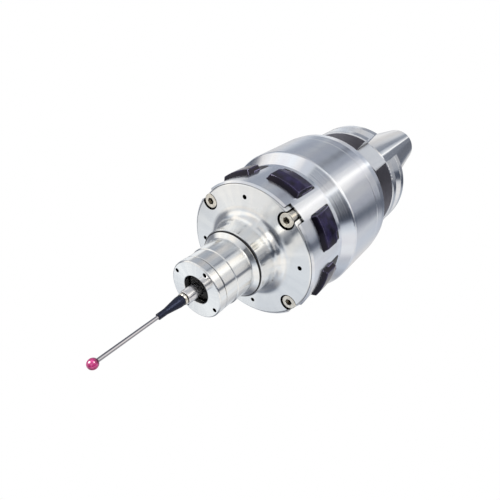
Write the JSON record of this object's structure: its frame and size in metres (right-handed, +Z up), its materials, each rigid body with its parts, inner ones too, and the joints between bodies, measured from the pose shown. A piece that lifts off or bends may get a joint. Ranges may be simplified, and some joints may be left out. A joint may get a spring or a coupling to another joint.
{
  "type": "touch probe",
  "caption": "Machine-tool touch probe on a steep-taper shank: round steel housing with dark infrared windows, stepped nose and a ruby-ball stylus.",
  "frame": {"origin": "on the axis, in the gauge plane of the taper, where its diameter is 44.45 mm", "axes": "+Z up the taper into the spindle, so the stylus hangs towards -Z; +X through one drive slot"},
  "size_m": [0.0734, 0.0734, 0.2627],
  "materials": {
    "ground_steel": "ground",
    "housing_steel": "fine turned",
    "black_steel": "black oxide",
    "screw_steel": "bright",
    "hard_steel": "polished",
    "spring_steel": "drawn wire",
    "stem_carbide": "ground",
    "machined_aluminium": "machined",
    "brass": "machined",
    "rubber": "matte",
    "window_plastic": "polished dark filter",
    "led_lens": "clear tinted",
    "moulded_plastic": "moulded",
    "board_film": "flexible board",
    "board_green": "coated board",
    "cell_can": "sleeved can",
    "ruby": "polished"
  },
  "bodies": {
    "probe_body": {"taper_shank": "ground_steel", "clamp_screws": "black_steel", "rear_cover": "housing_steel", "rear_seal": "rubber", "body_shell": "housing_steel", "window_ring": "housing_steel", "ir_windows": "window_plastic", "led_carrier": "moulded_plastic", "led_band": "board_film", "ir_leds": "led_lens", "front_cover": "housing_steel", "cover_screws": "screw_steel", "neck_seal": "rubber", "nose_sleeve": "housing_steel", "nose_cap": "housing_steel", "stylus_seal": "rubber", "seat_ring": "moulded_plastic", "seat_balls": "hard_steel", "preload_spring": "spring_steel", "spring_plug": "brass", "signal_board": "board_green", "main_board": "board_green", "board_parts": "moulded_plastic", "cell_cage": "moulded_plastic", "cells": "cell_can", "cell_contact": "brass"},
    "follower": {"spring_follower": "screw_steel"},
    "thrust": {"thrust_ball": "hard_steel"},
    "stylus": {"stylus_plate": "machined_aluminium", "seat_rollers": "hard_steel", "stylus_holder": "screw_steel", "breakaway_adapter": "screw_steel", "stylus_base": "black_steel", "stylus_stem": "stem_carbide", "ruby_ball": "ruby"}
  },
  "joints": [
    {"name": "stylus_lift", "type": "slide", "parent": "probe_body", "child": "follower", "axis": [0, 0, 1], "range_m": [0, 0.0035], "stiffness_N_per_m": 2000, "springref_m": -0.0025, "deforming": ["preload_spring", "stylus_seal"]},
    {"name": "stylus_tilt_x", "type": "hinge", "parent": "follower", "child": "thrust", "pos_m": [0, 0, -0.1156], "axis": [1, 0, 0], "range_deg": [-3.7, 3.7], "stiffness_Nm_per_rad": 1.8},
    {"name": "stylus_tilt_y", "type": "hinge", "parent": "thrust", "child": "stylus", "pos_m": [0, 0, -0.1156], "axis": [0, 1, 0], "range_deg": [-3.7, 3.7], "stiffness_Nm_per_rad": 1.8}
  ]
}
